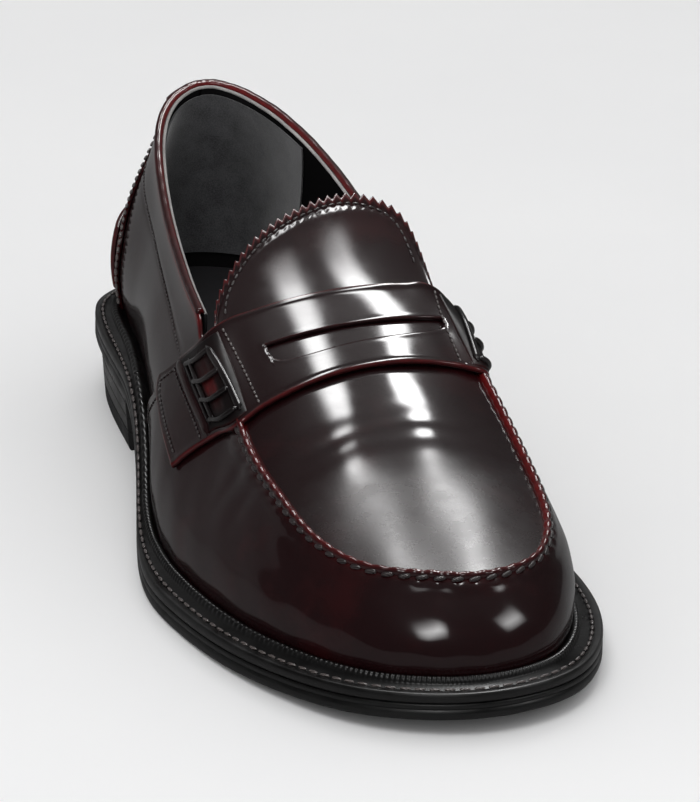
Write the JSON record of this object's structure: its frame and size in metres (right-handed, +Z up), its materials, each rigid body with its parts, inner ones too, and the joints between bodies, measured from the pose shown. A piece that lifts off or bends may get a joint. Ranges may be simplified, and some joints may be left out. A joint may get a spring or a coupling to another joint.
{
  "type": "penny loafer",
  "caption": "Leather penny loafer for the right foot with a saddle strap, moccasin seam, storm welt and low heel, worn on the foot and slipped on without laces.",
  "frame": {"origin": "middle of the heel's ground face", "axes": "+X to the wearer's inner (medial) side, -Y to the toe, +Z up"},
  "size_m": [0.1185, 0.296, 0.097],
  "materials": {
    "upper_leather": "polished brush-off burgundy, darker in the middle of each piece",
    "cord": "black waxed leather cord",
    "edge_binding": "folded edge, satin",
    "thread": "black waxed thread",
    "lining_leather": "smooth black lining leather",
    "suede": "dark grey napped suede",
    "sock": "matte black",
    "foam": "soft foam",
    "stiffener": "resin-stiffened board",
    "interlining": "plain cotton",
    "outsole": "satin black, leather look, edge trimmed and waxed",
    "welt": "black waxed storm welt",
    "heel_stack": "stacked board, edge waxed black",
    "rubber": "matte black",
    "insole": "vegetable tanned",
    "cork": "granulated cork paste",
    "steel": "bare steel"
  },
  "bodies": {
    "shoe": {"apron": "upper_leather", "apron_lining": "lining_leather", "backstay": "upper_leather", "backstay_stitch_lateral": "thread", "backstay_stitch_medial": "thread", "beefroll_cords_lateral": "cord", "beefroll_cords_medial": "cord", "beefroll_lateral": "upper_leather", "beefroll_medial": "upper_leather", "collar_binding": "edge_binding", "collar_stitch_lateral": "thread", "collar_stitch_medial": "thread", "cork_filler": "cork", "heel_counter": "stiffener", "heel_grip": "suede", "heel_lift_lower": "heel_stack", "heel_lift_middle": "heel_stack", "heel_lift_upper": "heel_stack", "heel_nails": "steel", "heel_pad": "foam", "heel_patch": "upper_leather", "heel_top_piece": "rubber", "insole": "insole", "insole_rib": "insole", "interlining_lateral": "interlining", "interlining_medial": "interlining", "moc_seam_thread": "thread", "outsole": "outsole", "quarter_lateral": "upper_leather", "quarter_lining_lateral": "lining_leather", "quarter_lining_medial": "lining_leather", "quarter_medial": "upper_leather", "shank": "steel", "slot_backing": "upper_leather", "sock_lining": "sock", "strap": "upper_leather", "strap_stitch_lateral": "thread", "strap_stitch_medial": "thread", "tab_stitch_lateral": "thread", "tab_stitch_medial": "thread", "toe_puff": "stiffener", "top_piece_tacks": "steel", "vamp_edge_stitch_lateral": "thread", "vamp_edge_stitch_medial": "thread", "vamp_lining": "lining_leather", "vamp_wall": "upper_leather", "welt": "welt", "welt_stitch": "thread"},
    "tongue": {"tongue": "upper_leather", "tongue_lining": "lining_leather", "tongue_edge_stitch": "thread"}
  },
  "joints": [
    {"name": "tongue_lift", "type": "hinge", "parent": "shoe", "child": "tongue", "pos_m": [0, -0.114, 0.0708], "axis": [1, 0, 0], "range_deg": [0, 12]}
  ]
}
